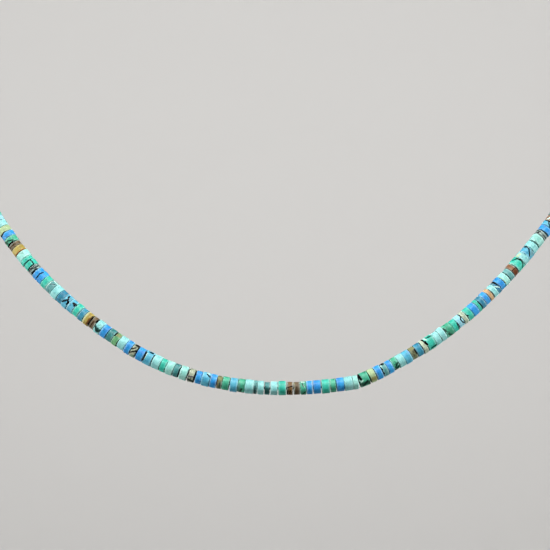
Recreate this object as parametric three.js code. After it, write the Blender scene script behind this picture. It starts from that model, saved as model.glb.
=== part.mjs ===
// A beaded necklace: one strand of small disc beads, cut from turquoise and like stones and
// strung face to face on a thread, which a plain barrel clasp closes behind the neck.
// Millimetres, +Z up, the front towards -Y. The origin is the nape, at the middle of the clasp,
// where the loop hangs. Left and right are as seen from the front.
// The strand is two strings of beads, which meet at a kink in front, a little right of the middle.
import * as THREE from 'three';

// The beads, and the thread that they are strung on
const BEAD_DIAMETER = 3;
const BEAD_LENGTH = 1.4;
const BEAD_GAP = 0.1;
const GROOVE_DIAMETER = 1.4;
const THREAD_DIAMETER = 0.6;
const MEETING_GAP = 0.15;
const SIZE_STEP = 0.05;
const BEAD_SIDES = 10;

// The clasp, and the room that each string's end keeps in it
const CLASP_LENGTH = 12;
const CLASP_DIAMETER = 4;
const CLASP_END_DIAMETER = BEAD_DIAMETER;
const CLASP_COLLAR_LENGTH = 1;
const CLASP_SHOULDER_LENGTH = 1.6;
const CLASP_BORE_DEPTH = 3;
const CLASP_BORE_CLEARANCE = 0.4;
const CLASP_SEAT_GAP = 0.3;
const CLASP_SIDES = 24;
const SHOULDER_STEPS = 4;

// The route of the strand through its few chosen points, [x, y, z]. The kink is the first point of
// both front stretches, and the stretch behind is the same on both sides, given for the right.
const ROUTE = {
  frontLeft: [
    [18.5, -103.3, -91.5], [13.3, -103.7, -92.3], [4.4, -103.9, -92.9], [-4.4, -103.9, -92.7],
    [-13.2, -103.3, -91.5], [-21.8, -102.2, -89.3], [-29.9, -100.5, -85.9], [-37.5, -98.2, -81.4],
    [-44.7, -95.4, -76.4], [-51.4, -92.1, -70.9], [-57.4, -88.3, -64.7],
  ],
  frontRight: [
    [18.5, -103.3, -91.5], [21, -102.8, -90.5], [25.8, -101.7, -88.2], [33.5, -99.5, -84],
    [40.8, -96.9, -79.2], [47.6, -93.8, -73.7], [53.8, -90.2, -67.8],
  ],
  behind: [
    [63.6, -83, -56.8], [68, -77.8, -49.6], [71, -71.3, -41.6], [72.3, -62.4, -32.5],
    [71.6, -50.8, -23.2], [68.2, -38.2, -14.6], [61.5, -26.6, -7.4], [51.2, -16.4, -2.9],
    [38.6, -8.9, -0.7], [24.5, -3.6, 0], [12, -0.6, 0], [0, 0, 0],
  ],
};

// The plane of the loop leans back, and no stretch of the route runs along its normal.
const LOOP_NORMAL = new THREE.Vector3(0, -0.66, 0.75);

// The beads in front, charted outward from the kink. Each number is a bead's length as a
// percentage of BEAD_LENGTH, and + or - after it marks a bead one SIZE_STEP wider or narrower.
const LEFT_CHART = `
  75+ 130+ 115 90 130+ 125 95 90 100- 100- 125+ 115 85- 100 50 130+ 105 120+ 110 80- 105 125+
  95- 115 125+ 95 115+ 90 130+ 145+ 120 90 100+ 120 100 105 110 110+ 95- 115 95 100 115 100+
  105 120+ 105 105 95 80 85- 105 65 120+ 110 80- 110 90 100 110 85 110`;
const RIGHT_CHART = `
  145+ 105+ 105+ 85 85 95- 110 115 95- 105 80+ 140+ 100 95+ 135 95- 105- 70 100 110 60 80 90
  70 90 60 95 105 90- 90 150+ 105+ 130 115 140 90- 100 85 95- 100`;

function readChart(chart) {
  return chart.trim().split(/\s+/).map((entry) => ({
    length: (BEAD_LENGTH * parseInt(entry, 10)) / 100,
    radius: (BEAD_DIAMETER / 2) * (1 + SIZE_STEP * (entry.endsWith('+') - entry.endsWith('-'))),
  }));
}

function makeRoute(front, side) {
  const behind = ROUTE.behind.map(([x, y, z]) => [side * x, y, z]);
  const points = [...front, ...behind].map((point) => new THREE.Vector3(...point));
  const route = new THREE.CatmullRomCurve3(points);
  route.arcLengthDivisions = 60 * (points.length - 1);
  return route;
}

function pointAt(route, distance) {
  return route.getPointAt(Math.min(distance / route.getLength(), 1));
}

function directionAt(route, distance) {
  return route.getTangentAt(Math.min(distance / route.getLength(), 1));
}

// What two neighbouring beads need between them so that their rims clear each other in a bend
function bendRoom(route, distance, nextDistance) {
  const bend = directionAt(route, distance).angleTo(directionAt(route, nextDistance));
  return (BEAD_DIAMETER / 2) * bend;
}

// The beads of one string, from the kink to the clasp. The chart is used once for the front and
// then over again, and what is left at the clasp is shared out between the beads behind.
function layBeads(route, chart, firstGap) {
  const end = route.getLength() - CLASP_LENGTH / 2 - CLASP_SEAT_GAP;
  const beads = [];
  let start = firstGap;
  let kind = chart[0];
  while (start + kind.length <= end) {
    beads.push({ ...kind, start });
    const middle = start + kind.length / 2;
    const next = start + kind.length + BEAD_LENGTH / 2;
    start += kind.length + BEAD_GAP + bendRoom(route, middle, next);
    kind = chart[beads.length % chart.length];
  }
  const last = beads.at(-1);
  const spare = end - last.start - last.length;
  const behind = beads.length - chart.length;
  beads.slice(chart.length).forEach((bead, index) => {
    bead.start += (spare * (index + 1)) / behind;
  });
  return beads;
}

function makeRing(centre, axis, radius) {
  const across = LOOP_NORMAL.clone().projectOnPlane(axis).normalize();
  const along = new THREE.Vector3().crossVectors(axis, across);
  const ring = [];
  for (let side = 0; side < BEAD_SIDES; side++) {
    const turn = (2 * Math.PI * (side + 0.5)) / BEAD_SIDES;
    ring.push(centre.clone()
      .addScaledVector(across, radius * Math.cos(turn))
      .addScaledVector(along, radius * Math.sin(turn)));
  }
  return ring;
}

// A closed body through a row of rings, with a flat face at each end
function bodyFromRings(rings) {
  const corners = rings.flat().flatMap((point) => point.toArray());
  const faces = [];
  for (let ring = 0; ring < rings.length - 1; ring++) {
    for (let side = 0; side < BEAD_SIDES; side++) {
      const next = (side + 1) % BEAD_SIDES;
      const a = ring * BEAD_SIDES + side;
      const b = ring * BEAD_SIDES + next;
      faces.push(a, b, b + BEAD_SIDES, a, b + BEAD_SIDES, a + BEAD_SIDES);
    }
  }
  const lastRing = (rings.length - 1) * BEAD_SIDES;
  for (let side = 1; side < BEAD_SIDES - 1; side++) {
    faces.push(0, side + 1, side);
    faces.push(lastRing, lastRing + side, lastRing + side + 1);
  }
  const geometry = new THREE.BufferGeometry();
  geometry.setAttribute('position', new THREE.Float32BufferAttribute(corners, 3));
  geometry.setIndex(faces);
  geometry.computeVertexNormals();
  return geometry;
}

// The thread's end, which leaves the last bead and runs into the clasp's bore
function threadEndRings(lastFace, side) {
  const inside = CLASP_LENGTH / 2 - CLASP_BORE_DEPTH + CLASP_SEAT_GAP;
  const towardsClasp = new THREE.Vector3(-side, 0, 0);
  const tip = new THREE.Vector3(side * inside, 0, 0);
  return [
    makeRing(lastFace.centre, lastFace.axis, THREAD_DIAMETER / 2),
    makeRing(tip, towardsClasp, THREAD_DIAMETER / 2),
  ];
}

// One string: each bead is a straight cylinder across its own stretch of the route, with a
// groove down towards the thread between two beads in front and a plain step between two behind.
function makeString(route, chart, side, firstGap) {
  const beads = layBeads(route, chart, firstGap).map((bead) => {
    const from = pointAt(route, bead.start);
    const to = pointAt(route, bead.start + bead.length);
    return { from, to, radius: bead.radius, axis: to.clone().sub(from).normalize() };
  });
  const rings = [];
  beads.forEach((bead, index) => {
    rings.push(makeRing(bead.from, bead.axis, bead.radius));
    rings.push(makeRing(bead.to, bead.axis, bead.radius));
    if (index < chart.length) {
      const next = beads[index + 1];
      const middle = bead.to.clone().lerp(next.from, 0.5);
      const axis = bead.axis.clone().add(next.axis).normalize();
      rings.push(makeRing(middle, axis, GROOVE_DIAMETER / 2));
    }
  });
  const last = beads.at(-1);
  rings.push(...threadEndRings({ centre: last.to, axis: last.axis }, side));
  return bodyFromRings(rings);
}

// Half of the clasp's outline, from the bottom of its bore to the middle of the barrel
function claspHalfOutline() {
  const end = CLASP_LENGTH / 2;
  const boreRadius = THREAD_DIAMETER / 2 + CLASP_BORE_CLEARANCE;
  const collarRadius = CLASP_END_DIAMETER / 2;
  const swell = CLASP_DIAMETER / 2 - collarRadius;
  const outline = [
    new THREE.Vector2(0, end - CLASP_BORE_DEPTH),
    new THREE.Vector2(boreRadius, end - CLASP_BORE_DEPTH),
    new THREE.Vector2(boreRadius, end),
    new THREE.Vector2(collarRadius, end),
  ];
  for (let step = 0; step <= SHOULDER_STEPS; step++) {
    const turn = ((Math.PI / 2) * step) / SHOULDER_STEPS;
    outline.push(new THREE.Vector2(
      collarRadius + swell * Math.sin(turn),
      end - CLASP_COLLAR_LENGTH - CLASP_SHOULDER_LENGTH * (1 - Math.cos(turn)),
    ));
  }
  return outline;
}

function makeClasp() {
  const half = claspHalfOutline();
  const mirrored = half.map((point) => new THREE.Vector2(point.x, -point.y));
  const clasp = new THREE.LatheGeometry([...mirrored, ...half.reverse()], CLASP_SIDES);
  clasp.rotateZ(Math.PI / 2);
  return clasp;
}

function addMesh(group, name, geometry, material) {
  const mesh = new THREE.Mesh(geometry, material);
  mesh.name = name;
  group.add(mesh);
}

function stoneMaterial(color) {
  return new THREE.MeshStandardMaterial({ color, roughness: 0.4, metalness: 0, flatShading: true });
}

const leftRoute = makeRoute(ROUTE.frontLeft, -1);
const rightRoute = makeRoute(ROUTE.frontRight, 1);
const kink = Math.PI - directionAt(leftRoute, 0).angleTo(directionAt(rightRoute, 0));
const firstGap = MEETING_GAP / 2 + (BEAD_DIAMETER / 2) * (1 + SIZE_STEP) * Math.tan(kink / 2);

const necklace = new THREE.Group();
addMesh(necklace, 'bead_string_left',
  makeString(leftRoute, readChart(LEFT_CHART), -1, firstGap), stoneMaterial(0x6fc7c0));
addMesh(necklace, 'bead_string_right',
  makeString(rightRoute, readChart(RIGHT_CHART), 1, firstGap), stoneMaterial(0x62b9b8));
addMesh(necklace, 'clasp', makeClasp(),
  new THREE.MeshStandardMaterial({ color: 0xc9c7c2, roughness: 0.25, metalness: 1 }));

export default necklace;
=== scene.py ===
# A beaded necklace of small turquoise disc beads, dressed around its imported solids.
# Sizes are named in millimetres and turned into metres where the meshes are made. The stage and
# the lamps are in metres.
import math
import random

import bpy
import numpy as np
from mathutils import Matrix, Vector, noise


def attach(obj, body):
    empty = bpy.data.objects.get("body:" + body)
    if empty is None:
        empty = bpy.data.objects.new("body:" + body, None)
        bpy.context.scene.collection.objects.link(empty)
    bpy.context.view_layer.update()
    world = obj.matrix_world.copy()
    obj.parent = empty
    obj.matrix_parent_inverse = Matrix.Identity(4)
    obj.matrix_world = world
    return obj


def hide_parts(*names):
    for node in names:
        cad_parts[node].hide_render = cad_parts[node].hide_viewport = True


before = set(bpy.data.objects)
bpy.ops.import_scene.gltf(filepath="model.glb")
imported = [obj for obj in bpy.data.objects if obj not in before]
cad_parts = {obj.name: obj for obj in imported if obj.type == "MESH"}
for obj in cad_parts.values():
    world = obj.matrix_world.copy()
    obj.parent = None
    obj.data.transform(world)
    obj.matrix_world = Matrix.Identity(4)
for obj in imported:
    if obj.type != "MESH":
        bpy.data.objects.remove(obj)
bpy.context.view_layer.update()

MM = 0.001

# The beads and the thread, as in the solids
BEAD_DIAMETER = 3
BEAD_LENGTH = 1.4
BEAD_GAP = 0.1
THREAD_DIAMETER = 0.6
MEETING_GAP = 0.15
SIZE_STEP = 0.05

# The clasp, as in the solids
CLASP_LENGTH = 12
CLASP_DIAMETER = 4
CLASP_COLLAR_LENGTH = 1
CLASP_SHOULDER_LENGTH = 1.6
CLASP_BORE_DEPTH = 3
CLASP_BORE_CLEARANCE = 0.4
CLASP_SEAT_GAP = 0.3

# The route of the strand through its few points, [x, y, z], from the kink outward. Those in front
# were traced along the strand that is seen and rounded, and those behind were chosen.
ROUTE = {
    "front_left": [
        [18.5, -103.3, -91.5], [13.3, -103.7, -92.3], [4.4, -103.9, -92.9], [-4.4, -103.9, -92.7],
        [-13.2, -103.3, -91.5], [-21.8, -102.2, -89.3], [-29.9, -100.5, -85.9], [-37.5, -98.2, -81.4],
        [-44.7, -95.4, -76.4], [-51.4, -92.1, -70.9], [-57.4, -88.3, -64.7],
    ],
    "front_right": [
        [18.5, -103.3, -91.5], [21, -102.8, -90.5], [25.8, -101.7, -88.2], [33.5, -99.5, -84],
        [40.8, -96.9, -79.2], [47.6, -93.8, -73.7], [53.8, -90.2, -67.8],
    ],
    "behind": [
        [63.6, -83, -56.8], [68, -77.8, -49.6], [71, -71.3, -41.6], [72.3, -62.4, -32.5],
        [71.6, -50.8, -23.2], [68.2, -38.2, -14.6], [61.5, -26.6, -7.4], [51.2, -16.4, -2.9],
        [38.6, -8.9, -0.7], [24.5, -3.6, 0], [12, -0.6, 0], [0, 0, 0],
    ],
}

# How finely the curve is followed between two points, and the half step over which its direction
# is taken
ROUTE_STEPS = 60
DIRECTION_STEP = 0.05

# The view: how wide the frame is at the strand, and where its middle is from the strand's bottom
FRONT_BOTTOM = Vector((0, -104, -93))
FRAME_WIDTH = 122.2
FRAME_MIDDLE_X = -0.1
FRAME_MIDDLE_ABOVE_BOTTOM = 25.27
CAMERA_DISTANCE = 1000
CAMERA_SEES = 20000
CAMERA_ELEVATION = math.radians(10)
CAMERA_UP = Vector((0, math.sin(CAMERA_ELEVATION), math.cos(CAMERA_ELEVATION)))
TOWARDS_VIEWER = Vector((0, -math.cos(CAMERA_ELEVATION), math.sin(CAMERA_ELEVATION)))

# The beads in front, charted outward from the kink: the stone's letter, the bead's length as a
# percentage of BEAD_LENGTH, and + or - for a bead one SIZE_STEP wider or narrower. Most of the
# lengths were worked out from measured bead ends and rounded to 5, and ten were changed.
CHARTS = {
    "left": """
        m75+ a130+ b115 g90 t130+ b125 b95 g90 p100- f100- t125+ a115 d85- a100 y50 a130+ g105
        k120+ g110 e80- b105 k125+ b95- z115 m125+ d95 m115+ t90 a130+ k145+ b120 z90 b100+ a120
        l100 d105 b110 a110+ p95- o115 s95 t100 k115 k100+ s105 a120+ y105 t105 b95 b80 w85-
        t105 t65 m120+ o110 p80- g110 b90 c100 a110 q85 t110""",
    "right": """
        g145+ c105+ b105+ y85 b85 g95- a110 k115 e95- s105 v80+ t140+ a100 a95+ g135 t95- q105-
        v70 t100 b110 t60 s80 b90 u70 a90 s60 b95 m105 y90- n90 t150+ a105+ k130 a115 m140 w90-
        b100 k85 n95- w100""",
}

# The gap seen after a bead in front where it is wider than NARROW_GAP, in mm, by the bead's number
NARROW_GAP = 0.04
WIDE_GAPS = {
    "left": {
        5: 0.18, 6: 0.12, 9: 0.18, 10: 0.14, 11: 0.12, 12: 0.1, 13: 0.14, 18: 0.16, 20: 0.08,
        23: 0.2, 24: 0.24, 25: 0.12, 31: 0.24, 32: 0.12, 36: 0.14, 39: 0.14, 56: 0.12,
    },
    "right": {
        2: 0.12, 3: 0.14, 10: 0.14, 11: 0.14, 21: 0.1, 24: 0.16, 28: 0.18, 30: 0.1, 34: 0.28, 36: 0.26,
    },
}

# How far a bead's inner face, the one towards the kink, leans out at its top and at its bottom,
# in mm
LEANING_FACES = {
    ("left", 1): (0.02, 0.16),
    ("right", 1): (-0.04, 0.26),
    ("right", 2): (0.0, -0.12),
    ("right", 12): (0.1, 0.0),
}

# Colours of the marks on single beads, and how fully each covers the stone
MARK_COLOURS = {
    "black": ("020303", 1.0), "dark": ("0e2224", 0.95), "deep_green": ("06302a", 0.95),
    "shade": ("244c48", 0.85), "moss": ("1c3a2a", 0.85), "sage": ("3a8262", 0.5),
    "brown": ("24140a", 0.9), "rust": ("642c0c", 0.8), "amber": ("985420", 0.9),
    "tan": ("8f8d60", 0.8), "olive": ("8a7c30", 0.7), "cream": ("ccd6a4", 0.75),
    "pale": ("cdeee2", 0.9), "grey": ("7a9c9c", 0.7), "violet": ("544e66", 0.9),
    "lilac": ("7cacd8", 0.8),
}

# The marks seen on single beads in front, one in a row: the bead's number, the colour, where the
# mark starts and ends as outward from the kink and upward, in shares of the half length and the
# radius, and half the mark's width in mm
MARKS = {
    "left": """
        8 pale -0.5 0.1 0.2 0.6 0.01
        8 dark -0.1 0.2 0.3 0.75 0.03
        8 pale -0.5 0.88 0.6 0.88 0.08
        8 moss -0.6 -0.6 0.3 -0.9 0.1
        9 brown 0.2 0.3 0.3 -0.8 0.04
        9 tan 0.85 0.8 0.9 0.1 0.06
        10 black -0.8 0.4 0.85 0.12 0.06
        10 black -0.2 -0.3 0.1 -0.8 0.05
        10 black 0.7 -0.4 0.8 -0.8 0.08
        13 shade -0.8 -0.35 0.8 -0.35 0.62
        13 grey -0.8 0.9 0.8 0.9 0.1
        15 shade -0.3 0.6 -0.3 -0.9 0.06
        15 dark 0.4 0.1 0.4 -0.9 0.05
        17 grey 0.5 0.3 0.65 -0.8 0.12
        17 moss -0.2 -0.5 0.1 -0.9 0.16
        20 tan -0.6 0.6 0.6 0.6 0.34
        20 rust 0.92 0.4 0.95 -0.7 0.06
        20 shade -0.2 -0.1 -0.2 -0.9 0.1
        22 dark -1 0.43 -0.15 0.76 0.09
        22 pale -0.7 0.85 -0.1 0.9 0.08
        24 violet -0.8 -0.12 0.7 -0.22 0.09
        24 dark -0.8 -0.8 0.9 -0.7 0.22
        24 dark -0.95 0.8 -0.95 -0.5 0.09
        24 dark 0.9 0.8 0.95 0 0.09
        26 dark -0.95 0.4 -0.9 -0.8 0.1
        30 dark -0.95 0.7 -0.97 -0.3 0.08
        30 dark -0.5 0.88 0.35 0.86 0.1
        30 pale 0.6 0.6 0.7 -0.3 0.07
        30 black 0.95 0.55 0.96 -0.55 0.24
        32 black -0.8 0.9 0 0.88 0.24
        32 black -0.85 0.12 0.9 -0.5 0.12
        32 black -0.2 0.52 0.9 0.08 0.1
        32 sage -0.6 -0.75 0.5 -0.9 0.16
        35 tan -0.8 0.66 0.5 0.62 0.3
        35 black 0.9 0.9 0.98 0.35 0.15
        35 brown -0.99 0 -0.95 -0.9 0.08
        38 deep_green -0.85 -0.35 -0.4 -0.65 0.24
        38 deep_green -0.1 -0.3 -0.2 -0.65 0.22
        38 deep_green 0.75 -0.2 0 -0.66 0.2
        39 black -0.85 0.75 -0.8 0.3 0.17
        39 brown 0 0.3 0.2 -0.8 0.04
        39 brown 0.9 0.5 0.97 -0.7 0.06
        40 brown -0.95 0.7 -0.95 -0.6 0.2
        40 rust -0.6 0.3 -0.5 -0.8 0.12
        40 cream 0.95 0.8 0.92 -0.8 0.26
        43 black -0.7 0.5 0 0.42 0.22
        43 black -0.65 0.42 -0.6 0.2 0.16
        44 black -0.8 0.1 -0.75 -0.25 0.19
        44 black -0.5 0.1 0.35 0.72 0.15
        44 black -0.2 0.3 0.95 -0.4 0.16
        44 grey -0.6 0.65 -0.4 0.6 0.16
        47 pale -0.9 0.9 0.6 0.9 0.04
        47 pale 0.9 0.7 0.95 -0.7 0.04
        47 dark -0.6 0.62 0.6 0.2 0.035
        49 dark 0.8 0.6 1.05 0.1 0.08
        49 dark 1.05 0.1 0.92 -0.6 0.08
        51 black -0.9 0.35 -0.85 -0.7 0.1
        51 dark -0.3 0.7 0.1 -0.1 0.06
        51 black 0.6 0.2 0.75 -0.85 0.08
        52 deep_green -1 0.45 1 0.45 0.09
        52 deep_green -0.92 0.4 -0.92 -0.8 0.08
        52 deep_green 1.02 0.45 1.02 -0.85 0.12
        55 amber -0.95 0.85 -0.93 -0.85 0.16
        56 brown 0 0.3 0.1 -0.8 0.05
        57 black -0.7 0.3 0.3 -0.6 0.08
        57 black -1 0.1 -1 -0.9 0.18
        57 moss -0.3 -0.7 0.5 -0.95 0.2
        58 black 1.05 -0.6 0.95 -0.95 0.14
        59 brown -1 0 -1 -0.9 0.06""",
    "right": """
        1 moss -0.75 -0.6 0.9 -0.68 0.4
        1 deep_green -0.5 -0.8 0.4 -0.4 0.16
        1 pale -0.9 -0.24 -0.5 -0.1 0.07
        1 black -0.98 0.8 -0.8 0.1 0.22
        2 olive -0.3 -0.5 0.5 -0.5 0.42
        4 black -0.3 0.95 0.4 0.85 0.16
        4 black -1 0.3 -0.95 0.2 0.12
        4 black -1 -0.35 -0.95 -0.5 0.12
        4 pale -0.95 0.75 -0.6 0.7 0.1
        6 deep_green -0.5 -0.9 0.8 -0.65 0.22
        6 deep_green -0.4 -0.6 0.8 -0.12 0.12
        8 lilac 0.8 0.75 0.85 0.4 0.16
        9 tan -0.8 0.7 0.8 0.7 0.3
        9 black 0.85 0.35 0.92 -0.4 0.17
        11 black 0.6 0.95 1.05 0.15 0.17
        12 black -1.02 0.45 -0.95 -0.05 0.15
        12 deep_green -0.7 0.8 0.9 0.72 0.09
        12 deep_green -0.4 -0.8 1 -0.76 0.12
        12 pale -0.85 0.95 -0.55 0.62 0.12
        15 sage 0.1 0 0.3 -0.7 0.42
        15 moss -0.95 0.5 -0.75 0 0.18
        15 moss -0.5 -0.6 0.2 -0.95 0.16
        16 dark 1 0 0.85 -0.85 0.13
        17 black 0.85 0.85 0.95 0.35 0.08
        17 black 0.95 0.35 0.35 0.05 0.09
        17 black 0.35 0.05 0.45 -0.45 0.09
        17 black 0.45 -0.5 1 -0.72 0.08
        19 black -0.9 -0.15 -0.8 -0.2 0.14
        21 deep_green 1 0.4 0.95 -0.9 0.09
        24 rust 1 0.6 1 -0.8 0.08
        26 black 0.3 0.9 1 0.2 0.17
        26 black 0.9 0.9 1.05 0.35 0.16
        26 pale -0.9 0.3 0.95 -0.38 0.09
        26 grey -0.7 0.8 -0.3 0.7 0.12
        28 cream -0.95 0.7 -0.92 -0.6 0.06
        30 rust -0.8 -0.5 0.9 -0.5 0.52
        30 brown -0.8 -0.05 0.9 -0.1 0.06
        31 deep_green -0.05 0.85 0.68 0.55 0.1
        31 black 0.68 0.55 0.9 0.05 0.13
        31 black 0.9 0.05 0.8 -0.45 0.13
        31 deep_green 0.8 -0.45 0.15 -0.85 0.09
        32 cream -0.8 0.78 0.2 0.72 0.2
        33 grey 0.3 -0.6 0.8 -0.3 0.32
        33 black 0.6 0.88 0.85 0.75 0.16
        33 black 0.82 0.75 0.7 0.25 0.08
        33 black 0.7 0.25 -0.5 -0.55 0.11
        38 black -0.9 -0.4 0.3 0.3 0.09
        38 black 1.02 0.9 0.9 0.3 0.14
        39 pale -0.5 0.75 0.1 0.6 0.12""",
}
MARKS_ON_A_BEAD = 4

# The chips broken out of single beads in front, one in a row: the bead's number, the middle as in
# MARKS, and the radius of the scoop in mm
CHIPS = {
    "left": """
        30 1.05 0.3 0.34
        30 1.05 -0.3 0.34
        32 -0.6 1 0.4
        35 1.05 0.75 0.28
        39 -1 0.6 0.26
        43 -0.5 0.5 0.18
        44 -0.85 -0.05 0.2
        50 -1 0.1 0.16
        57 -1 -0.5 0.26""",
    "right": """
        1 -1.1 0.75 0.42
        1 -1.05 0.4 0.5
        1 -1 0.1 0.42
        4 0.1 1 0.3
        4 -1.05 0.25 0.2
        4 -1.05 -0.45 0.2
        9 1.05 0 0.3
        11 1 0.7 0.34
        12 -1 0.15 0.26
        16 1.05 -0.5 0.22
        19 -0.95 -0.17 0.2
        26 0.8 0.8 0.4
        26 1 0.35 0.26
        33 0.75 0.9 0.24
        38 1.05 0.6 0.22""",
}

# Each stone: its name, its finish, two colours that it shades between, its veins' colour, and how
# much web of veins, speckle and banding it shows
STONES = {
    "a": ("pale aqua", "turquoise", "7ecaca", "a0e6e2", "3c6a60", 0.05, 0.12, 0.35),
    "m": ("pale mint", "turquoise", "86d2c6", "aceade", "5a7a60", 0.05, 0.10, 0.30),
    "q": ("ice blue", "turquoise", "80c6d8", "a8e0ec", "2c4a54", 0.05, 0.12, 0.30),
    "t": ("teal", "turquoise", "1eb49a", "3ed2ba", "123f33", 0.06, 0.20, 0.25),
    "g": ("green", "turquoise", "2a9e7a", "50c09a", "10281c", 0.18, 0.30, 0.30),
    "l": ("leaf green", "turquoise", "509a64", "84c688", "14301c", 0.18, 0.30, 0.30),
    "b": ("bright blue", "turquoise", "1484d8", "32b0f0", "0c2c4c", 0.04, 0.20, 0.25),
    "k": ("sky blue", "turquoise", "3c9fc4", "66c4dc", "1a3038", 0.08, 0.20, 0.30),
    "s": ("steel blue", "turquoise", "187698", "389cb8", "102c38", 0.10, 0.45, 0.35),
    "y": ("grey teal", "turquoise", "468c8c", "70b2b0", "1c3534", 0.12, 0.40, 0.45),
    "d": ("dark slate", "turquoise", "2a7272", "449896", "0c2224", 0.12, 0.30, 0.35),
    "c": ("cream", "earthy", "9ab684", "c2d8a4", "6a5a2c", 0.06, 0.20, 0.40),
    "v": ("ivory", "earthy", "98a890", "ccdabc", "5a5434", 0.06, 0.20, 0.50),
    "o": ("ochre", "earthy", "988234", "c2ae56", "4c3010", 0.10, 0.30, 0.50),
    "f": ("golden brown", "earthy", "5c4020", "8c6634", "140a04", 0.40, 0.45, 0.50),
    "n": ("red brown", "earthy", "704424", "9c6c46", "221208", 0.20, 0.45, 0.50),
    "p": ("taupe", "earthy", "54432c", "7c6746", "1e160c", 0.15, 0.55, 0.60),
    "u": ("orange tan", "earthy", "b88c5a", "d8b488", "703814", 0.06, 0.20, 0.40),
    "e": ("khaki", "earthy", "5c6244", "868c62", "222614", 0.14, 0.45, 0.40),
    "w": ("striped grey", "marbled", "14322e", "a8c0b8", "081210", 0.30, 0.30, 1.00),
    "z": ("marbled cream", "marbled", "7c8a72", "c4ccb0", "101a14", 0.16, 0.35, 0.55),
}
FINISHES = ("turquoise", "earthy", "marbled")


def linear(colour):
    """The linear colour of a display colour written as rrggbb."""
    shares = [int(colour[i:i + 2], 16) / 255 for i in (0, 2, 4)]
    return tuple(c / 12.92 if c < 0.04045 else ((c + 0.055) / 1.055) ** 2.4 for c in shares)


def catmull_rom(points):
    """The points of a centripetal Catmull-Rom curve, and the distance to each."""
    corners = [Vector(p) for p in points]
    corners.insert(0, 2 * corners[0] - corners[1])
    corners.append(2 * corners[-1] - corners[-2])
    line = []
    for before, start, end, after in zip(corners, corners[1:], corners[2:], corners[3:]):
        first, middle, last = (
            math.sqrt((b - a).length) for a, b in ((before, start), (start, end), (end, after))
        )
        leaving = (start - before) / first - (end - before) / (first + middle) + (end - start) / middle
        coming = (end - start) / middle - (after - start) / (middle + last) + (after - end) / last
        leaving *= middle
        coming *= middle
        for step in range(ROUTE_STEPS):
            t = step / ROUTE_STEPS
            line.append(
                start + leaving * t
                + (3 * (end - start) - 2 * leaving - coming) * t * t
                + (2 * (start - end) + leaving + coming) * t ** 3
            )
    line.append(corners[-2])
    line = np.array(line)
    steps = np.linalg.norm(np.diff(line, axis=0), axis=1)
    return line, np.concatenate([[0], np.cumsum(steps)])


def point_at(route, distance):
    line, distances = route
    return Vector([np.interp(distance, distances, line[:, axis]) for axis in range(3)])


def direction_at(route, distance):
    start = max(distance - DIRECTION_STEP, 0)
    ahead = point_at(route, start + 2 * DIRECTION_STEP)
    return (ahead - point_at(route, start)).normalized()


def make_route(word):
    side = SIDES[word]
    behind = [[side * x, y, z] for x, y, z in ROUTE["behind"]]
    return catmull_rom(ROUTE[f"front_{word}"] + behind)


# Each string's side along x, and its way outward along a bead's own z, which points to the left
SIDES = {"left": -1, "right": 1}
OUTWARD = {"left": 1, "right": -1}
ROUTES = {word: make_route(word) for word in SIDES}


def first_gap():
    """How far from the kink each string's first bead starts, so that their rims clear."""
    left, right = (direction_at(ROUTES[word], 0) for word in SIDES)
    kink = math.pi - left.angle(right)
    return MEETING_GAP / 2 + BEAD_DIAMETER / 2 * (1 + SIZE_STEP) * math.tan(kink / 2)


def read_chart(chart):
    """A row for each bead of the chart: its stone's letter, its length and its radius."""
    rows = []
    for entry in chart.split():
        size = entry.endswith("+") - entry.endswith("-")
        share = int(entry[1:].rstrip("+-")) / 100
        rows.append((entry[0], BEAD_LENGTH * share, BEAD_DIAMETER / 2 * (1 + SIZE_STEP * size)))
    return rows


def bead_rows(chart, bead):
    """What the chart says in each of the rows of one bead, after its number."""
    if not bead["front"]:
        return []
    rows = [row.split() for row in chart[bead["word"]].strip().splitlines()]
    return [row[1:] for row in rows if int(row[0]) == bead["number"]]


# Where the strand leans away from the viewer the charted beads sit a little nearer the kink, as
# the charted place is that of the rim seen nearest: by this share of the radius where the strand
# points straight away. It sets in from DRAW_IN_FROM on and over DRAW_IN_OVER, in mm of the route.
DRAW_IN = 0.7
DRAW_IN_FROM = 8
DRAW_IN_OVER = 10


def bead_starts(word, chart):
    """Where the solids lay the beads of one string, as rows of the start along the route, the
    stone, the length and the radius, and the room that is left over at the clasp."""
    route = ROUTES[word]
    end = route[1][-1] - CLASP_LENGTH / 2 - CLASP_SEAT_GAP
    laid = []
    start = first_gap()
    stone, length, radius = chart[0]
    while start + length <= end:
        laid.append((start, stone, length, radius))
        here = direction_at(route, start + length / 2)
        there = direction_at(route, start + length + BEAD_LENGTH / 2)
        start += length + BEAD_GAP + BEAD_DIAMETER / 2 * here.angle(there)
        stone, length, radius = chart[len(laid) % len(chart)]
    return laid, end - laid[-1][0] - laid[-1][2]


def drawn_in(route, start, length, radius):
    """How much nearer the kink a charted bead sits than the solids lay it."""
    settled = min(max((start - DRAW_IN_FROM) / DRAW_IN_OVER, 0), 1)
    away = -direction_at(route, start + length / 2).dot(TOWARDS_VIEWER)
    return DRAW_IN * settled * radius * away


def lay_beads(word):
    """The beads of one string from the kink to the clasp, each with the middles of its faces."""
    route = ROUTES[word]
    chart = read_chart(CHARTS[word])
    laid, spare = bead_starts(word, chart)
    behind = len(laid) - len(chart)
    beads = []
    nearer = 0
    for number, (start, stone, length, radius) in enumerate(laid, 1):
        if number <= len(chart):
            nearer = drawn_in(route, start, length, radius)
        share = max(number - len(chart), 0) / behind
        shift = spare * share - nearer * (1 - share)
        inner = point_at(route, start + shift)
        outer = point_at(route, start + shift + length)
        beads.append({
            "word": word, "number": number, "front": number <= len(chart), "stone": stone,
            "radius": radius, "length": (outer - inner).length, "inner": inner, "outer": outer,
        })
    return beads


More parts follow.
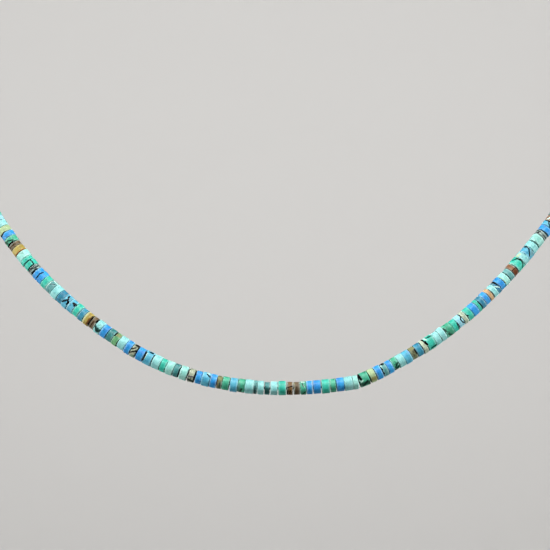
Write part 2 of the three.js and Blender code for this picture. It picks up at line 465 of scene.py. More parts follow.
def bead_place(bead):
    """The bead's own frame: x towards the viewer, y up in the view and z to the left, which is
    outward on the left string and inward on the right one."""
    along = OUTWARD[bead["word"]] * (bead["outer"] - bead["inner"]).normalized()
    facing = (TOWARDS_VIEWER - along * TOWARDS_VIEWER.dot(along)).normalized()
    up = along.cross(facing)
    turn = Matrix((facing, up, along)).transposed()
    return turn, (bead["inner"] + bead["outer"]) / 2


def make_camera():
    target = FRONT_BOTTOM + CAMERA_UP * FRAME_MIDDLE_ABOVE_BOTTOM + Vector((FRAME_MIDDLE_X, 0, 0))
    data = bpy.data.cameras.new("camera")
    data.lens = data.sensor_width * CAMERA_DISTANCE / FRAME_WIDTH
    data.clip_end = CAMERA_SEES * MM
    camera = bpy.data.objects.new("camera", data)
    camera.location = (target + TOWARDS_VIEWER * CAMERA_DISTANCE) * MM
    camera.rotation_euler = (math.pi / 2 - CAMERA_ELEVATION, 0, 0)
    bpy.context.scene.collection.objects.link(camera)
    bpy.context.scene.camera = camera


make_camera()

# The finer mesh of a bead: its bore and rounded edges, the step from each face into the bore, the
# rows across its section and the segments round it
BORE_RADIUS = 0.45
EDGE_RADIUS = 0.15
BORE_STEP_IN = 0.03
BORE_STEP_DOWN = 0.06
FRONT_DETAIL = {"segments": 64, "wall": 11, "edge": 4, "face": 3}
BEHIND_DETAIL = {"segments": 40, "wall": 5, "edge": 2, "face": 2}
BEADS_IN_A_PIECE = 36

# How steeply the wear and the painted edge highlight fall off from a bead's edge, and the swelling
# from its face
WEAR_AND_HIGHLIGHT_FALL = 6
SWELL_FALL = 3

# How uneven the beads are, in mm and radians: lumps and grain with the fineness of each, the
# margin round the bore that has neither, and how far faces lean and beads tilt and slip
LUMP = 0.02
LUMP_FINENESS = 0.9
GRAIN = 0.008
GRAIN_FINENESS = 3.1
BORE_MARGIN = 0.05
FACE_LEAN = 0.02
TILT = math.radians(1.1)
SLIP = 0.06

# How far the beads are out of round: the number of lobes and their depth as a share of the radius
LOBES = ((2, 0.008), (3, 0.005), (5, 0.003))

# The most nicks on a bead, the radius of each, and how far off the bead its middle is as a share
# of that
NICKS = 3
NICK_RADIUS = (0.06, 0.16)
NICK_OFFSET = 0.3

# How worn an edge is and how much painted highlight it carries, how much a bead's shade may differ
# from its stone's, and how far from the stone's middle, in mm, a bead may be cut
WEAR_AND_HIGHLIGHT = (0.1, 1)
SHADE = 0.06
CUT_WITHIN = 500


def bead_section(length, radius, detail):
    """The closed outline of half a bead's section, one row for each ring: its radius, its place
    along the bead, its outward normal along the radius and the bead, how much it lies on an edge,
    and how much on a face."""
    half = length / 2
    inner = half - EDGE_RADIUS
    rows = []
    for step in range(detail["wall"]):
        share = 2 * (step + 0.5) / detail["wall"] - 1
        rows.append((radius, share * inner, 1, 0, abs(share) ** WEAR_AND_HIGHLIGHT_FALL, 0))
    for step in range(detail["edge"] + 1):
        turn = math.pi / 2 * step / detail["edge"]
        rows.append((
            radius - EDGE_RADIUS + EDGE_RADIUS * math.cos(turn),
            inner + EDGE_RADIUS * math.sin(turn), math.cos(turn), math.sin(turn), 1, 0,
        ))
    for step in range(1, detail["face"] + 1):
        share = step / detail["face"]
        reach = radius - EDGE_RADIUS - BORE_RADIUS
        rows.append((radius - EDGE_RADIUS - share * reach, half, 0, 1, 0, 1))
    rows.append((BORE_RADIUS - BORE_STEP_IN, half - BORE_STEP_DOWN, -1, 0, 0, 1))
    mirrored = [
        (r, -z, normal_r, -normal_z, rim, face)
        for r, z, normal_r, normal_z, rim, face in reversed(rows[detail["wall"]:])
    ]
    return np.array(rows + mirrored)


def face_shifts(bead, rng):
    """How far the bead's right and left faces swell at the top and at the bottom, in mm."""
    word, number = bead["word"], bead["number"]
    gaps = WIDE_GAPS[word] if bead["front"] else {}
    leaning = LEANING_FACES.get((word, number), (0, 0)) if bead["front"] else (0, 0)
    shifts = []
    for gap, lean in ((gaps.get(number - 1), leaning), (gaps.get(number), (0, 0))):
        swell = (BEAD_GAP - (gap or NARROW_GAP)) / 2
        shifts.append([swell + part + rng.uniform(-FACE_LEAN, FACE_LEAN) for part in lean])
    return shifts if OUTWARD[word] > 0 else shifts[::-1]


def bead_chips(bead, rng):
    """The scoops to take out of a bead: their middles in its own frame, and their radii."""
    half, radius = bead["length"] / 2, bead["radius"]
    scoops = []
    for row in bead_rows(CHIPS, bead):
        outward, upward, size = (float(entry) for entry in row)
        height = min(abs(upward), 1)
        depth = radius * math.sqrt(1 - height * height)
        place = (depth, upward * radius, OUTWARD[bead["word"]] * outward * half)
        scoops.append((Vector(place), size))
    for _ in range(rng.randint(1, NICKS)):
        turn = rng.uniform(0, 2 * math.pi)
        size = rng.uniform(*NICK_RADIUS)
        reach = radius + size * NICK_OFFSET
        end = rng.choice((-1, 1)) * half
        scoops.append((Vector((reach * math.cos(turn), reach * math.sin(turn), end)), size))
    return scoops


def scoop(points, scoops):
    """Push the points that lie inside a scoop onto its surface."""
    for middle, size in scoops:
        away = points - np.array(middle)
        reach = np.linalg.norm(away, axis=1)
        inside = reach < size
        points[inside] = np.array(middle) + away[inside] / reach[inside, None] * size
    return points


def uneven_points(columns, turn, rng):
    """A bead's points in its own frame, a little out of round and lumpy, and the place in the
    stone that the bead is cut from."""
    r, z, normal_r, normal_z = columns
    phases = [rng.uniform(0, 2 * math.pi) for _ in LOBES]
    out_of_round = sum(
        depth * np.sin(lobes * turn + phase) for (lobes, depth), phase in zip(LOBES, phases)
    )
    r = r * (1 + out_of_round * (r > BORE_RADIUS))
    cut_from = Vector([rng.uniform(-CUT_WITHIN, CUT_WITHIN) for _ in range(3)])
    points = np.stack([r * np.cos(turn), r * np.sin(turn), z], 1)
    normals = np.stack([normal_r * np.cos(turn), normal_r * np.sin(turn), normal_z], 1)
    push = np.array([
        LUMP * noise.noise(Vector(p) * LUMP_FINENESS + cut_from)
        + GRAIN * noise.noise(Vector(p) * GRAIN_FINENESS + cut_from)
        for p in points
    ])
    push[r < BORE_RADIUS + BORE_MARGIN] = 0
    return points + normals * push[:, None], cut_from


def swell_faces(bead, points, z, rng):
    """The points with the two faces swollen or leaning, less and less towards the middle."""
    height = np.clip(points[:, 1] / bead["radius"], -1, 1)
    end = np.clip(np.abs(z) / (bead["length"] / 2), 0, 1) ** SWELL_FALL
    for sign, (top, bottom) in zip((-1, 1), face_shifts(bead, rng)):
        shift = top * (1 + height) / 2 + bottom * (1 - height) / 2
        points[:, 2] += sign * np.where(z * sign > 0, shift * end, 0)
    return points


def place_points(bead, points, rng):
    """The points on the strand, with the bead a little tilted and off the strand's middle."""
    tilt = Matrix.Rotation(rng.uniform(-TILT, TILT), 3, "X")
    tilt = tilt @ Matrix.Rotation(rng.uniform(-TILT, TILT), 3, "Y")
    slip = Vector((rng.uniform(-SLIP, SLIP), rng.uniform(-SLIP, SLIP), 0))
    turn, middle = bead_place(bead)
    return points @ np.array(turn @ tilt).T + np.array(middle + turn @ slip)


def ring_quads(rows, segments):
    """The quads between rings, of which the last joins up with the first."""
    ring = np.arange(rows)[:, None] * segments
    next_ring = (np.arange(rows)[:, None] + 1) % rows * segments
    here = np.arange(segments)[None, :]
    there = (here + 1) % segments
    quads = np.stack([ring + here, ring + there, next_ring + there, next_ring + here], -1)
    return quads.reshape(-1, 4)


def bead_mesh(bead, rng, detail):
    """A bead's points in millimetres, its quads, and what its material reads at each point."""
    section = bead_section(bead["length"], bead["radius"], detail)
    segments = detail["segments"]
    turn = np.tile(np.arange(segments) * 2 * math.pi / segments, len(section))
    r, z, normal_r, normal_z, rim, face = np.repeat(section, segments, axis=0).T
    points, cut_from = uneven_points((r, z, normal_r, normal_z), turn, rng)
    points = swell_faces(bead, points, z, rng)
    points = scoop(points, bead_chips(bead, rng))
    # How worn each face's edge is, which also sets how much painted edge highlight it gets
    wear_and_highlight = np.where(z > 0, rng.uniform(*WEAR_AND_HIGHLIGHT), rng.uniform(*WEAR_AND_HIGHLIGHT))
    looks = {
        "stone_place": points + np.array(cut_from),
        "stone_spot": np.stack([points[:, 2] * OUTWARD[bead["word"]], points[:, 1], points[:, 0]], 1),
        "stone_edges": np.stack([rim * wear_and_highlight, face, np.zeros(len(rim))], 1),
    }
    return place_points(bead, points, rng), ring_quads(len(section), segments), looks


def mark_looks(bead):
    """What the material reads of the marks that are charted on one bead."""
    half, radius = bead["length"] / 2, bead["radius"]
    marks = bead_rows(MARKS, bead)
    looks = {}
    for slot in range(MARKS_ON_A_BEAD):
        start, end, colour = (0, 0, 0), (0, 0, 0), (0, 0, 0)
        if slot < len(marks):
            name, *entries = marks[slot]
            start_out, start_up, end_out, end_up, width = (float(entry) for entry in entries)
            colour, cover = MARK_COLOURS[name]
            start = (start_out * half, start_up * radius, width)
            end = (end_out * half, end_up * radius, cover)
            colour = linear(colour)
        looks[f"mark_start_{slot}"] = start
        looks[f"mark_end_{slot}"] = end
        looks[f"mark_colour_{slot}"] = colour
    return looks


def bead_looks(bead, rng):
    """What the material reads that is the same all over one bead."""
    _, _, main, second, vein, web, speckle, bands = STONES[bead["stone"]]
    shade = 1 + rng.uniform(-SHADE, SHADE)
    return {
        "stone_main": [c * shade for c in linear(main)],
        "stone_second": [c * shade for c in linear(second)],
        "stone_vein": linear(vein),
        "stone_pattern": (web, speckle, bands),
        **mark_looks(bead),
    }


def join_beads(name, beads, detail, seed):
    """One joined mesh of the beads, with what the stone materials read kept on its points."""
    rng = random.Random(seed)
    points, quads, slots, first = [], [], [], 0
    kept = {}
    for bead in beads:
        placed, bead_quads, point_looks = bead_mesh(bead, rng, detail)
        count = len(placed)
        points.append(placed)
        quads.append(bead_quads + first)
        slots.append(np.full(len(bead_quads), FINISHES.index(STONES[bead["stone"]][1])))
        looks = {key: np.tile(value, (count, 1)) for key, value in bead_looks(bead, rng).items()}
        for key, values in (looks | point_looks).items():
            kept.setdefault(key, []).append(values)
        first += count
    mesh = bpy.data.meshes.new(name)
    fill_mesh(mesh, np.concatenate(points) * MM, np.concatenate(quads))
    mesh.polygons.foreach_set("material_index", np.concatenate(slots).astype(np.int32))
    for key, values in kept.items():
        attribute = mesh.attributes.new(key, "FLOAT_VECTOR", "POINT")
        attribute.data.foreach_set("vector", np.concatenate(values).astype(np.float32).ravel())
    return add_object(name, mesh)


def fill_mesh(mesh, points, quads):
    mesh.vertices.add(len(points))
    mesh.vertices.foreach_set("co", points.astype(np.float32).ravel())
    mesh.loops.add(quads.size)
    mesh.loops.foreach_set("vertex_index", quads.astype(np.int32).ravel())
    mesh.polygons.add(len(quads))
    mesh.polygons.foreach_set("loop_start", np.arange(len(quads), dtype=np.int32) * 4)
    mesh.update(calc_edges=True)
    mesh.validate()
    mesh.polygons.foreach_set("use_smooth", np.ones(len(mesh.polygons), dtype=bool))


def add_object(name, mesh):
    piece = bpy.data.objects.new(name, mesh)
    bpy.context.scene.collection.objects.link(piece)
    return piece


class Nodes:
    """Short calls to build one material's node tree."""

    def __init__(self, name):
        self.material = bpy.data.materials.new(name)
        self.material.use_nodes = True
        self.tree = self.material.node_tree
        self.shader = self.tree.nodes["Principled BSDF"]

    def add(self, kind, inputs=(), **settings):
        node = self.tree.nodes.new(kind)
        for key, value in settings.items():
            setattr(node, key, value)
        for key, value in dict(inputs).items():
            self.set(node.inputs[key], value)
        return node

    def set(self, socket, value):
        if isinstance(value, bpy.types.NodeSocket):
            self.tree.links.new(value, socket)
        else:
            socket.default_value = value

    def attribute(self, name):
        return self.add("ShaderNodeAttribute", attribute_name=name).outputs["Vector"]

    def parts(self, vector):
        return self.add("ShaderNodeSeparateXYZ", {0: vector}).outputs

    def math(self, operation, a, b=0.0, c=0.0):
        node = self.add("ShaderNodeMath", operation=operation)
        for socket, value in zip(node.inputs, (a, b, c)):
            self.set(socket, value)
        return node.outputs[0]

    def vector(self, operation, a, b=(0, 0, 0)):
        node = self.add("ShaderNodeVectorMath", {0: a}, operation=operation)
        self.set(node.inputs["Scale" if operation == "SCALE" else 1], b)
        return node.outputs["Value" if operation in ("DOT_PRODUCT", "LENGTH") else "Vector"]

    def ramp(self, value, low, high, to_low=0.0, to_high=1.0):
        node = self.add("ShaderNodeMapRange", {
            "Value": value, "From Min": low, "From Max": high, "To Min": to_low, "To Max": to_high,
        }, interpolation_type="SMOOTHSTEP")
        return node.outputs[0]

    def mix(self, share, a, b, blend="MIX"):
        node = self.add("ShaderNodeMix", data_type="RGBA", blend_type=blend)
        for socket, value in zip((node.inputs[0], node.inputs[6], node.inputs[7]), (share, a, b)):
            self.set(socket, value)
        return node.outputs[2]

    def noise(self, place, scale, detail=3.0, roughness=0.5, distortion=0.0):
        return self.add("ShaderNodeTexNoise", {
            "Vector": place, "Scale": scale, "Detail": detail, "Roughness": roughness,
            "Distortion": distortion,
        }).outputs["Fac"]

    def bump(self, height, strength, depth):
        """The normal over a relief, whose depth is in mm."""
        return self.add("ShaderNodeBump", {
            "Height": height, "Strength": strength, "Distance": depth * MM,
        }).outputs[0]

    def finish(self, inputs):
        for key, value in inputs.items():
            self.set(self.shader.inputs[key], value)


# How far the marks spread past their charted width and how soft their edges are, in mm: a share of
# the width, less a little, but no less than the least. MARK_FADE is where the softness starts and
# ends, in shares of it.
MARK_GROWTH = 0.055
MARK_SOFTNESS = 0.6
MARK_SOFTNESS_LESS = 0.02
MARK_SOFTNESS_LEAST = 0.03
MARK_FADE = (-0.8, 1.0)
SHORTEST_STROKE = 0.0001

# How far the marks' edges wander, coarsely and finely, in mm
MARK_WANDER = 0.22
MARK_FRAY = 0.08

# The chalk on worn edges, which also stands in as a painted edge highlight, and how fully it
# covers them, and the painted shade on the faces between beads
CHALK_AND_EDGE_HIGHLIGHT = (0.66, 0.92, 0.88, 1.0)
CHALK_AND_EDGE_HIGHLIGHT_COVER = 0.62
GAP_SHADE = (0.12, 0.12, 0.11, 1.0)
COAT_ROUGHNESS = 0.2


def mark_amount(n, spot, slot, wobble):
    """How much of one mark covers the stone: a stroke right through the bead, with ragged edges."""
    start = n.attribute(f"mark_start_{slot}")
    end = n.attribute(f"mark_end_{slot}")
    width, strength = n.parts(start)[2], n.parts(end)[2]
    flat = (1, 1, 0)
    start, end, here = (n.vector("MULTIPLY", v, flat) for v in (start, end, spot))
    stroke = n.vector("SUBTRACT", end, start)
    away = n.vector("SUBTRACT", here, start)
    length = n.math("MAXIMUM", n.vector("DOT_PRODUCT", stroke, stroke), SHORTEST_STROKE)
    share = n.math("DIVIDE", n.vector("DOT_PRODUCT", away, stroke), length)
    share = n.math("MINIMUM", n.math("MAXIMUM", share, 0.0), 1.0)
    nearest = n.vector("SCALE", stroke, share)
    distance = n.vector("LENGTH", n.vector("SUBTRACT", away, nearest))
    past = n.math("SUBTRACT", n.math("ADD", distance, wobble), width)
    softness = n.math("MULTIPLY_ADD", width, MARK_SOFTNESS, -MARK_SOFTNESS_LESS)
    softness = n.math("MAXIMUM", softness, MARK_SOFTNESS_LEAST)
    covered = n.math("DIVIDE", n.math("SUBTRACT", MARK_GROWTH, past), softness)
    return n.math("MULTIPLY", n.ramp(covered, *MARK_FADE), strength)


def stone_ground(n, place, bands):
    """Clouds and layers of the stone's two colours, with a fine grain."""
    clouds = n.noise(place, scale=0.9, detail=5.0, roughness=0.6, distortion=0.4)
    stretched = n.vector("MULTIPLY", place, (0.5, 0.5, 3.2))
    layers = n.noise(stretched, scale=1.0, detail=3.0, roughness=0.6, distortion=0.3)
    blend = n.mix(bands, n.ramp(clouds, 0.35, 0.65), n.ramp(layers, 0.4, 0.6))
    colour = n.mix(blend, n.attribute("stone_main"), n.attribute("stone_second"))
    grain = n.noise(place, scale=9.0, detail=4.0, roughness=0.7)
    grain = n.ramp(grain, 0.3, 0.7, to_low=0.88, to_high=1.10)
    return n.mix(1.0, colour, grain, "MULTIPLY")


def stone_specks(n, place, speckle):
    """The dark specks, which come and go over the stone."""
    specks = n.add("ShaderNodeTexVoronoi", {"Vector": place, "Scale": 4.5, "Randomness": 1.0})
    size = n.math("MULTIPLY", n.ramp(n.noise(place, scale=1.7), 0.45, 0.7), 0.26)
    speck = n.math("LESS_THAN", specks.outputs["Distance"], size)
    return n.math("MULTIPLY", speck, speckle)


def stone_veins(n, place, web, web_scale, web_width):
    """The web of dark veins, which runs through a part of the stone only."""
    wander = n.add("ShaderNodeTexNoise", {"Vector": place, "Scale": 1.3, "Detail": 4.0})
    bent = n.vector("ADD", place, n.vector("SCALE", wander.outputs["Color"], 1.2))
    cells = n.add("ShaderNodeTexVoronoi", {"Vector": bent, "Scale": web_scale},
                  feature="DISTANCE_TO_EDGE")
    line = n.ramp(cells.outputs["Distance"], web_width, web_width * 0.3)
    patches = n.ramp(n.noise(place, scale=0.7, detail=2.0), 0.62, 0.38)
    reach = n.math("LESS_THAN", patches, web)
    depth = n.ramp(web, 0.0, 0.3, to_low=0.3, to_high=1.0)
    return n.math("MULTIPLY", n.math("MULTIPLY", line, reach), depth)


def stone_wear_and_highlight(n, place, rim):
    """The chalky wear along the edges, which is also a painted edge highlight."""
    patches = n.noise(place, scale=2.4, detail=4.0, roughness=0.6)
    return n.math("MULTIPLY", rim, n.ramp(patches, 0.36, 0.64, to_low=0.2, to_high=0.9))


def add_marks(n, place, colour):
    """The colour with the marks charted on single beads, and how much any of them covers it."""
    spot = n.attribute("stone_spot")
    coarse = n.math("SUBTRACT", n.noise(place, scale=2.5, detail=3.0, roughness=0.6), 0.5)
    fine = n.math("SUBTRACT", n.noise(place, scale=9.0, detail=2.0), 0.5)
    wobble = n.math("MULTIPLY_ADD", coarse, MARK_WANDER, n.math("MULTIPLY", fine, MARK_FRAY))
    marked = 0.0
    for slot in range(MARKS_ON_A_BEAD):
        amount = mark_amount(n, spot, slot, wobble)
        colour = n.mix(amount, colour, n.attribute(f"mark_colour_{slot}"))
        marked = n.math("MAXIMUM", marked, amount)
    return colour, marked


def stone_roughness(n, place, polish, worn_and_highlighted, dark, face):
    """Rougher than the polish on worn edges, a little in veins and marks, and most on the faces."""
    patches = n.noise(place, scale=3.0, detail=4.0, roughness=0.6)
    uneven = n.ramp(patches, 0.3, 0.7, to_low=polish - 0.08, to_high=polish + 0.12)
    for cause, extra in ((worn_and_highlighted, 0.3), (dark, 0.15), (face, 0.4)):
        uneven = n.math("ADD", uneven, n.math("MULTIPLY", cause, extra))
    return uneven


def stone_relief(n, place, dark, speck):
    """Fine grinding rings and pits, with veins, marks and specks that lie a little lower."""
    rings = n.vector("MULTIPLY", place, (0.6, 0.6, 16.0))
    rings = n.noise(rings, scale=1.0, detail=3.0, roughness=0.6)
    pits = n.noise(place, scale=7.0, detail=5.0, roughness=0.7)
    relief = n.math("MULTIPLY", rings, 0.5)
    relief = n.math("ADD", relief, n.math("MULTIPLY", pits, 0.9))
    for cause, depth in ((dark, 0.7), (speck, 0.5)):
        relief = n.math("SUBTRACT", relief, n.math("MULTIPLY", cause, depth))
    return n.bump(relief, strength=0.55, depth=0.03)


def stone_material(name, polish, coat, web_scale, web_width):
    n = Nodes(name)
    place = n.attribute("stone_place")
    vein_colour = n.attribute("stone_vein")
    web, speckle, bands = n.parts(n.attribute("stone_pattern"))
    rim, face, _ = n.parts(n.attribute("stone_edges"))

    colour = stone_ground(n, place, bands)
    speck = stone_specks(n, place, speckle)
    colour = n.mix(speck, colour, vein_colour)
    veins = stone_veins(n, place, web, web_scale, web_width)
    colour = n.mix(veins, colour, vein_colour)
    worn_and_highlighted = stone_wear_and_highlight(n, place, rim)
    # Chalk on the worn edges, which also paints a highlight along them
    colour = n.mix(worn_and_highlighted, colour, n.mix(CHALK_AND_EDGE_HIGHLIGHT_COVER, colour, CHALK_AND_EDGE_HIGHLIGHT))
    colour, marked = add_marks(n, place, colour)

    # The sawn faces are unpolished, and their colour is darkened with painted shade for the gaps
    # between beads
    colour = n.mix(face, colour, n.mix(1.0, colour, GAP_SHADE, "MULTIPLY"))
    dark = n.math("MAXIMUM", veins, marked)
    shine = n.ramp(marked, 0.0, 1.0, to_low=0.45, to_high=0.1)
    n.finish({
        "Base Color": colour, "Roughness": stone_roughness(n, place, polish, worn_and_highlighted, dark, face),
        "Specular IOR Level": shine, "Coat Weight": coat, "Coat Roughness": COAT_ROUGHNESS,
        "Normal": stone_relief(n, place, dark, speck),
    })
    return n.material


# The finishes, in the order of FINISHES: the name, the polish as a roughness, the coat, and the
# scale and width of the web of veins
STONE_MATERIALS = [
    stone_material("turquoise", 0.52, 0.05, 0.75, 0.075),
    stone_material("earthy_stone", 0.58, 0.03, 0.9, 0.07),
    stone_material("marbled_stone", 0.54, 0.04, 1.15, 0.13),
]


def add_bead_piece(name, beads, detail, seed, node):
    piece = join_beads(name, beads, detail, seed)
    for material in STONE_MATERIALS:
        piece.data.materials.append(material)
    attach(piece, "root")
    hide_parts(node)


def dress_string(word):
    beads = lay_beads(word)
    front = [bead for bead in beads if bead["front"]]
    behind = [bead for bead in beads if not bead["front"]]
    node = f"bead_string_{word}"
    for start in range(0, len(front), BEADS_IN_A_PIECE):
        some = front[start:start + BEADS_IN_A_PIECE]
        number = start // BEADS_IN_A_PIECE + 1
        add_bead_piece(f"beads_front_{word}_{number}", some, FRONT_DETAIL, f"{word} {number}", node)
    add_bead_piece(f"beads_behind_{word}", behind, BEHIND_DETAIL, f"{word} behind", node)


for word in SIDES:
    dress_string(word)

# The thread: three plies twisted together, in one run from the clasp round to the clasp. The plies
# are as deep as THREAD_PLY_DEPTH says in shares of the radius and twist by radians for each mm.
THREAD_STEP = 0.6
THREAD_SEGMENTS = 12
THREAD_PLIES = 3
THREAD_PLY_DEPTH = 0.24
THREAD_TWIST = 2.2
WAX_DARK = (0.020, 0.018, 0.016, 1.0)
WAX_PALE = (0.060, 0.052, 0.044, 1.0)


def thread_line():
    """Points along the whole thread, from the left end in the clasp to the right one."""
    inside = CLASP_LENGTH / 2 - CLASP_BORE_DEPTH + CLASP_SEAT_GAP
    line = []
    for word, route in ROUTES.items():
        length = route[1][-1] - inside
        distances = np.linspace(0, length, int(length / THREAD_STEP))
        if word == "left":
            distances = distances[:0:-1]
        line += [point_at(route, d) for d in distances]
    return line


def make_thread():
    line = thread_line()
    points = []
    travelled = 0
    for k, point in enumerate(line):
        before = line[max(k - 1, 0)]
        after = line[min(k + 1, len(line) - 1)]
        travelled += (point - before).length
        along = (after - before).normalized()
        facing = (TOWARDS_VIEWER - along * TOWARDS_VIEWER.dot(along)).normalized()
        up = along.cross(facing)
        for segment in range(THREAD_SEGMENTS):
            turn = 2 * math.pi * segment / THREAD_SEGMENTS
            lobe = abs(math.sin(THREAD_PLIES / 2 * (turn + travelled * THREAD_TWIST)))
            radius = THREAD_DIAMETER / 2 * (1 - THREAD_PLY_DEPTH * (1 - lobe))
            points.append(point + radius * (facing * math.cos(turn) + up * math.sin(turn)))
    thread = add_object("thread", rings_mesh("thread", points, THREAD_SEGMENTS))
    thread.data.materials.append(thread_material())
    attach(thread, "root")
    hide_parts("bead_string_left", "bead_string_right")


def rings_mesh(name, points, segments, closed=True):
    """A smooth body through rings of points, with a flat face at each end when it is closed."""
    quads = []
    for start in range(0, len(points) - segments, segments):
        for segment in range(segments):
            following = (segment + 1) % segments
            quads.append((start + segment, start + following,
                          start + segments + following, start + segments + segment))
    ends = [list(range(segments))[::-1], list(range(len(points) - segments, len(points)))]
    mesh = bpy.data.meshes.new(name)
    mesh.from_pydata([p * MM for p in points], [], quads + ends if closed else quads)
    mesh.polygons.foreach_set("use_smooth", [len(f.vertices) == 4 for f in mesh.polygons])
    return mesh


def thread_material():
    n = Nodes("waxed_thread")
    place = n.add("ShaderNodeTexCoord").outputs["Object"]
    fibres = n.noise(place, scale=9000.0, detail=3.0, roughness=0.6)
    n.finish({
        "Base Color": n.mix(fibres, WAX_DARK, WAX_PALE),
        "Roughness": n.ramp(fibres, 0.3, 0.7, to_low=0.55, to_high=0.8),
        "Normal": n.bump(fibres, strength=0.5, depth=0.02),
    })
    return n.material


make_thread()

# The clasp: a plain polished barrel with a collar at each end, which a fine groove sets off.
# CLASP_BAND is how far from its middle the outline's last row lies.
CLASP_SEGMENTS = 96
CLASP_EDGE = 0.12
CLASP_EDGE_ROWS = 4
CLASP_LIP_ROWS = (0.4, 1.0)
CLASP_GROOVE_DEPTH = 0.06
CLASP_SHOULDER_ROWS = 12
CLASP_BAND = 0.8
SILVER = (0.83, 0.82, 0.79, 1.0)
TARNISH = (0.55, 0.51, 0.45, 1.0)


def clasp_outline():
    """Half of the clasp's outline, [radius, place along it], from its bore to its middle."""
    end = CLASP_LENGTH / 2
    bore = THREAD_DIAMETER / 2 + CLASP_BORE_CLEARANCE
    collar = BEAD_DIAMETER / 2
    swell = CLASP_DIAMETER / 2 - collar
    rows = [(bore, end - CLASP_BORE_DEPTH), (bore, end - CLASP_EDGE)]
    rows += [(bore + CLASP_EDGE * s, end - CLASP_EDGE * (1 - s)) for s in CLASP_LIP_ROWS]
    for step in range(CLASP_EDGE_ROWS + 1):
        turn = math.pi / 2 * step / CLASP_EDGE_ROWS
        rows.append((collar - CLASP_EDGE * (1 - math.sin(turn)),
                     end - CLASP_EDGE * (1 - math.cos(turn))))
    groove = end - CLASP_COLLAR_LENGTH
    rows.append((collar, groove + 2 * CLASP_GROOVE_DEPTH))
    rows.append((collar - CLASP_GROOVE_DEPTH, groove + CLASP_GROOVE_DEPTH))
    rows.append((collar, groove))
    for step in range(1, CLASP_SHOULDER_ROWS + 1):
        turn = math.pi / 2 * step / CLASP_SHOULDER_ROWS
        rows.append((collar + swell * math.sin(turn),
                     groove - CLASP_SHOULDER_LENGTH * (1 - math.cos(turn))))
    rows.append((CLASP_DIAMETER / 2, CLASP_BAND))
    return rows


def make_clasp():
    half = clasp_outline()
    points = []
    for radius, x in half + [(r, -x) for r, x in reversed(half)]:
        for segment in range(CLASP_SEGMENTS):
            turn = -2 * math.pi * segment / CLASP_SEGMENTS
            points.append(Vector((x, radius * math.cos(turn), radius * math.sin(turn))))
    clasp = add_object("clasp_barrel", rings_mesh("clasp_barrel", points, CLASP_SEGMENTS))
    clasp.data.materials.append(clasp_material())
    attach(clasp, "root")
    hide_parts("clasp")


def clasp_material():
    n = Nodes("polished_silver")
    place = n.add("ShaderNodeTexCoord").outputs["Object"]
    lengthwise = n.vector("MULTIPLY", place, (9000.0, 700.0, 700.0))
    hairlines = n.noise(lengthwise, scale=1.0, detail=3.0, roughness=0.6)
    tarnish = n.ramp(n.noise(place, scale=420.0, detail=4.0, roughness=0.6), 0.45, 0.75)
    smooth = n.ramp(hairlines, 0.3, 0.7, to_low=0.14, to_high=0.26)
    n.finish({
        "Base Color": n.mix(tarnish, SILVER, TARNISH), "Metallic": 1.0,
        "Roughness": n.math("ADD", smooth, n.math("MULTIPLY", tarnish, 0.15)),
        "Normal": n.bump(hairlines, strength=0.2, depth=0.01),
    })
    return n.material


make_clasp()

# The stage: a pale round floor that sweeps up into a wall all round, in metres
FLOOR_BELOW = 0.6
WALL_RADIUS = 2.6
WALL_HEIGHT = 2.2
SWEEP_RADIUS = 0.8
MIDDLE_HOLE = 0.001
STAGE_SEGMENTS = 96
SWEEP_ROWS = 16
STAGE_COLOUR = (0.61, 0.60, 0.585, 1.0)
STAGE_ROUGHNESS = 0.9


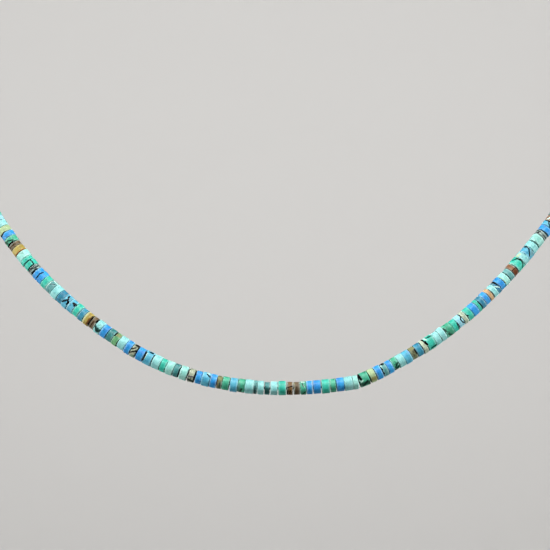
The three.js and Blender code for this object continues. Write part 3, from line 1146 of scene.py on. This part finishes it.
def make_stage():
    floor = FRONT_BOTTOM.z * MM - FLOOR_BELOW
    flat = WALL_RADIUS - SWEEP_RADIUS
    rows = [(MIDDLE_HOLE, floor), (flat, floor)]
    for step in range(1, SWEEP_ROWS + 1):
        turn = math.pi / 2 * step / SWEEP_ROWS
        rows.append((flat + SWEEP_RADIUS * math.sin(turn),
                     floor + SWEEP_RADIUS * (1 - math.cos(turn))))
    rows.append((WALL_RADIUS, floor + WALL_HEIGHT))
    points = []
    for radius, z in rows:
        for segment in range(STAGE_SEGMENTS):
            turn = 2 * math.pi * segment / STAGE_SEGMENTS
            points.append(Vector((radius * math.cos(turn), radius * math.sin(turn), z)) / MM)
    backdrop = add_object("backdrop", rings_mesh("backdrop", points, STAGE_SEGMENTS, closed=False))
    n = Nodes("pale_backdrop")
    n.finish({"Base Color": STAGE_COLOUR, "Roughness": STAGE_ROUGHNESS})
    backdrop.data.materials.append(n.material)


# The lamps, in metres, watts and degrees: where each stands, where it points, its two sides, its
# power and its spread. The first four light the strand, and the others wash the wall all round.
STRAND = (0, -0.09, -0.07)
LAMPS = {
    "key_above": ((0, -0.41, 0.75), STRAND, (0.6, 0.25), 1.4, 60),
    "rim_above": ((0, 0.22, 0.78), STRAND, (0.6, 0.2), 0.16, 60),
    "side_left": ((-0.95, -0.18, -0.12), STRAND, (0.4, 0.4), 0.75, 50),
    "side_right": ((0.95, -0.16, -0.08), STRAND, (0.4, 0.4), 0.65, 50),
    "wash_front": ((0, -0.9, 1.4), (0, -2.6, -0.5), (1.6, 0.5), 7, 90),
    "wash_left": ((-0.9, 0, 1.4), (-2.6, 0, -0.5), (0.5, 1.6), 6, 90),
    "wash_right": ((0.9, 0, 1.4), (2.6, 0, -0.5), (0.5, 1.6), 6, 90),
    "wash_behind": ((0, 0.9, 1.4), (0, 2.6, -0.5), (1.6, 0.5), 11.6, 80),
}
WORLD_COLOUR = (0.9, 0.94, 1.0, 1.0)
WORLD_STRENGTH = 0.01


def add_lamp(name, location, aim, size, power, spread):
    data = bpy.data.lights.new(name, "AREA")
    data.shape = "RECTANGLE"
    data.size, data.size_y = size
    data.energy = power
    data.spread = math.radians(spread)
    lamp = bpy.data.objects.new(name, data)
    lamp.location = location
    lamp.visible_camera = False
    lamp.rotation_euler = (Vector(aim) - Vector(location)).to_track_quat("-Z", "Y").to_euler()
    bpy.context.scene.collection.objects.link(lamp)


def make_lights():
    for name, lamp in LAMPS.items():
        add_lamp(name, *lamp)
    world = bpy.data.worlds.new("studio")
    world.use_nodes = True
    background = world.node_tree.nodes["Background"]
    background.inputs["Color"].default_value = WORLD_COLOUR
    background.inputs["Strength"].default_value = WORLD_STRENGTH
    bpy.context.scene.world = world


make_stage()
make_lights()
bpy.context.scene.view_settings.view_transform = "Standard"
